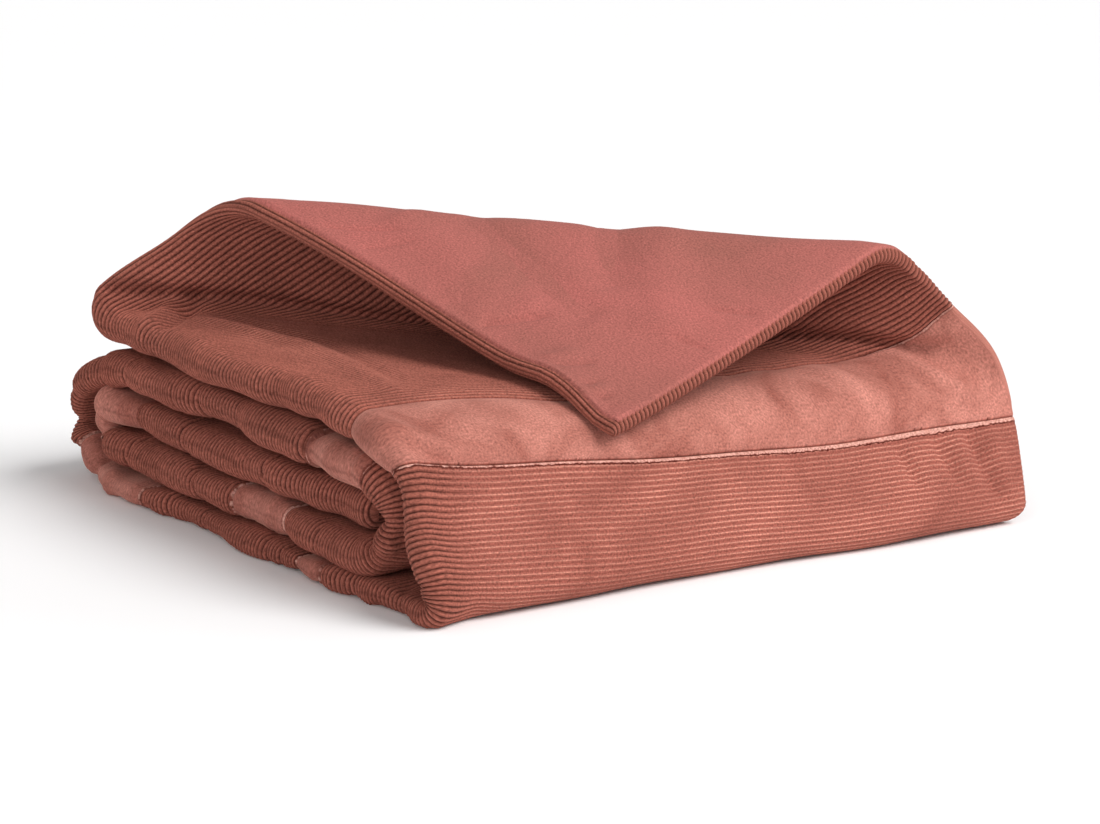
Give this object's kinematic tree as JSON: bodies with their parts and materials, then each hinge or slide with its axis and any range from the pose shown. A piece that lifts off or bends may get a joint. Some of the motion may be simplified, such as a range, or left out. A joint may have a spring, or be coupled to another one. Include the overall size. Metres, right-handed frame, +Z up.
{
  "type": "folded eiderdown",
  "caption": "Padded corduroy eiderdown with velvet bands and a plain lining, doubled, rolled flat and with one corner turned forward.",
  "frame": {"origin": "middle of the underside, on the surface that the eiderdown lies on", "axes": "+X to the right along the front face, +Y to the back, +Z up"},
  "size_m": [0.4166, 0.4153, 0.1783],
  "materials": {
    "corduroy": "dusty terracotta corduroy with velvet bands",
    "lining": "plain rose washed cotton"
  },
  "bodies": {
    "root": {"quilt": "corduroy", "lining_turned": "lining", "lining_lower": "lining"}
  },
  "joints": []
}
